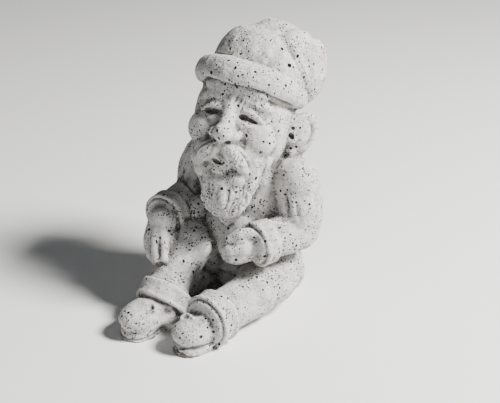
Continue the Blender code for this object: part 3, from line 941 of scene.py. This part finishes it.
# Where the mix was porous, how far that reaches, and how many more pits it gives. It gives fewer where that
# is below 0, as at the back, on the bows and in the eyes.
POROUS = [
    ((10, 0, 232), 32, 0.7),
    ((38, 0, 215), 24, 0.7),
    ((8, -18, 125), 30, 0.2),
    ((32, -24, 80), 14, 0.8),
    ((42, 18, 112), 24, 0.5),
    ((-26, -20, 72), 24, 0.5),
    ((60, 0, 175), 18, 0.5),
    ((10, -26, 170), 16, -0.4),
    ((72, 40, 130), 20, -0.3),
    ((0, 92, 90), 46, -0.9),
    ((0, 30, 30), 30, -0.6),
    *[(middle, 12, -1.5) for middle, _ in BOWS],
    *[(tuple(HEAD @ Vector((side * 18, -43, -1))), 11, -2.5) for side in (1, -1)],
]
# The radii of the smallest and largest pits, and the one below which a pit is cut with few faces.
PIT_SMALL = 0.4
PIT_LARGE = 1.75
PIT_COARSE = 0.85
PIT_TRIES = 10500
# Most pits are small: the higher this is, the fewer are large.
PIT_LEANING = 3.2
# How far apart the middles of two pits are, as a share of their radii, and the stone left between them.
PIT_APART = 1.25
PIT_STONE = 0.1


def pit_shapes():
    """The egg for a small pit, with few faces, and the one for a large pit."""
    shapes = []
    for segments, rings in ((5, 3), (7, 5)):
        deselect()
        bpy.ops.mesh.primitive_uv_sphere_add(
            segments=segments,
            ring_count=rings,
            radius=1.0,
            location=(0, 0, 0),
        )
        bpy.ops.object.mode_set(mode="EDIT")
        bpy.ops.mesh.quads_convert_to_tris()
        bpy.ops.object.mode_set(mode="OBJECT")
        egg = bpy.context.object
        corners = np.array([vertex.co for vertex in egg.data.vertices])
        shapes.append((corners, np.array([polygon.vertices for polygon in egg.data.polygons])))
        bpy.data.objects.remove(egg)
    return shapes


def spaced(centres, radii):
    """Leaves out each pit that would touch an earlier one, which it looks up by the cell it lies in."""
    cell = 2.6 * PIT_LARGE
    taken, kept = {}, []
    for centre, radius in zip(centres, radii):
        place = tuple((centre // cell).astype(int))
        near = [
            other
            for step in np.ndindex(3, 3, 3)
            for other in taken.get(tuple(p + s - 1 for p, s in zip(place, step)), ())
        ]
        if any(math.dist(centre, other) < (far + radius) * PIT_APART + PIT_STONE for other, far in near):
            continue
        taken.setdefault(place, []).append((centre, radius))
        kept.append((centre, radius))
    return kept


def pit_cutters(clay, rng):
    """Eggs for the air pits: crowded in places and missing in others, and no two touching."""
    skin = Skin(clay)
    chance = value_noise(skin.points, 15.0, 11) + value_noise(skin.points, 5.0, 12) * 0.8 + 0.1
    for place, reach, gain in POROUS:
        chance += gain * np.exp(-((skin.points - place) ** 2).sum(1) / reach**2)
    chance = np.clip(chance, 0.0, 1.0) * (skin.points[:, 2] > 4.0)
    spots = rng.choice(skin.count, PIT_TRIES, p=chance / chance.sum())
    radii = PIT_SMALL + (PIT_LARGE - PIT_SMALL) * rng.uniform(0.0, 1.0, PIT_TRIES) ** PIT_LEANING
    centres = skin.points[spots] - skin.normals[spots] * radii[:, None] * 0.1
    small, large = pit_shapes()
    points, faces, count = [], [], 0
    for centre, radius in spaced(centres, radii):
        turn = np.array(Euler(rng.uniform(0.0, math.tau, 3)).to_matrix())
        corners, sides = small if radius < PIT_COARSE else large
        faces += (sides + count).tolist()
        points.append((corners * rng.uniform(0.6, 1.3, 3) * radius) @ turn.T + centre)
        count += len(corners)
    mesh = bpy.data.meshes.new("pit_cutters")
    mesh.from_pydata((np.vstack(points) * MM).tolist(), [], faces)
    cutter = bpy.data.objects.new("pit_cutters", mesh)
    bpy.context.scene.collection.objects.link(cutter)
    return cutter


def face_value(item, name, value):
    """Gives every face the same value, which stays with it through the cut."""
    attribute = item.data.attributes.new(name, "FLOAT", "FACE")
    attribute.data.foreach_set("value", np.full(len(item.data.polygons), value, np.float32))


clay_figure = model_figure()
mark_recesses(clay_figure)
pits = pit_cutters(clay_figure, np.random.default_rng(5))
face_value(clay_figure, "pit", 0.0)
face_value(pits, "pit", 1.0)
subtract(clay_figure, pits)
part_into_pieces(clay_figure, cast_stone())


# ---- Studio ----

def area_light(name, place, target, size, power, colour):
    deselect()
    bpy.ops.object.light_add(type="AREA", location=place)
    light = bpy.context.object
    light.name = name
    light.data.energy = power
    light.data.size = size
    light.data.color = colour
    light.rotation_euler = (Vector(target) - Vector(place)).to_track_quat("-Z", "Y").to_euler()


# The floor's side in metres, the middle of what the camera sees, and where the camera stands.
FLOOR_SIZE = 60.0
MIDDLE = Vector((34.26, -2.95, 117.3)) * MM
EYE = Vector((614.2, -801.1, 556.6)) * MM

# Matt white paper, so plain that the eye sees only the figure and its shadow. The light is soft, from high on
# the right, with a weak fill in front and pale air all round.
bpy.ops.mesh.primitive_plane_add(size=FLOOR_SIZE, location=(0, 0, 0))
floor = bpy.context.object
floor.name = "studio_floor"
paper = bpy.data.materials.new("studio_paper")
paper.use_nodes = True
sheet = paper.node_tree.nodes["Principled BSDF"].inputs
sheet["Base Color"].default_value = hex_colour("#f2f2f1")
sheet["Roughness"].default_value = 0.9
floor.data.materials.append(paper)

world = bpy.data.worlds.new("studio_air")
bpy.context.scene.world = world
world.use_nodes = True
air = world.node_tree.nodes["Background"].inputs
air["Color"].default_value = (0.93, 0.96, 1.0, 1.0)
air["Strength"].default_value = 0.09

area_light("key_light", (1.2, 0.4, 1.4), MIDDLE, 0.45, 112.0, (1.0, 0.985, 0.96))
area_light("fill_light", (0.8, -1.5, 0.7), MIDDLE, 1.0, 3.0, (0.95, 0.97, 1.0))

bpy.ops.object.camera_add(location=EYE)
camera = bpy.context.object
camera.name = "studio_camera"
camera.data.lens = 85.0
camera.data.sensor_width = 36.0
camera.rotation_euler = (MIDDLE - camera.location).to_track_quat("-Z", "Y").to_euler()
bpy.context.scene.camera = camera
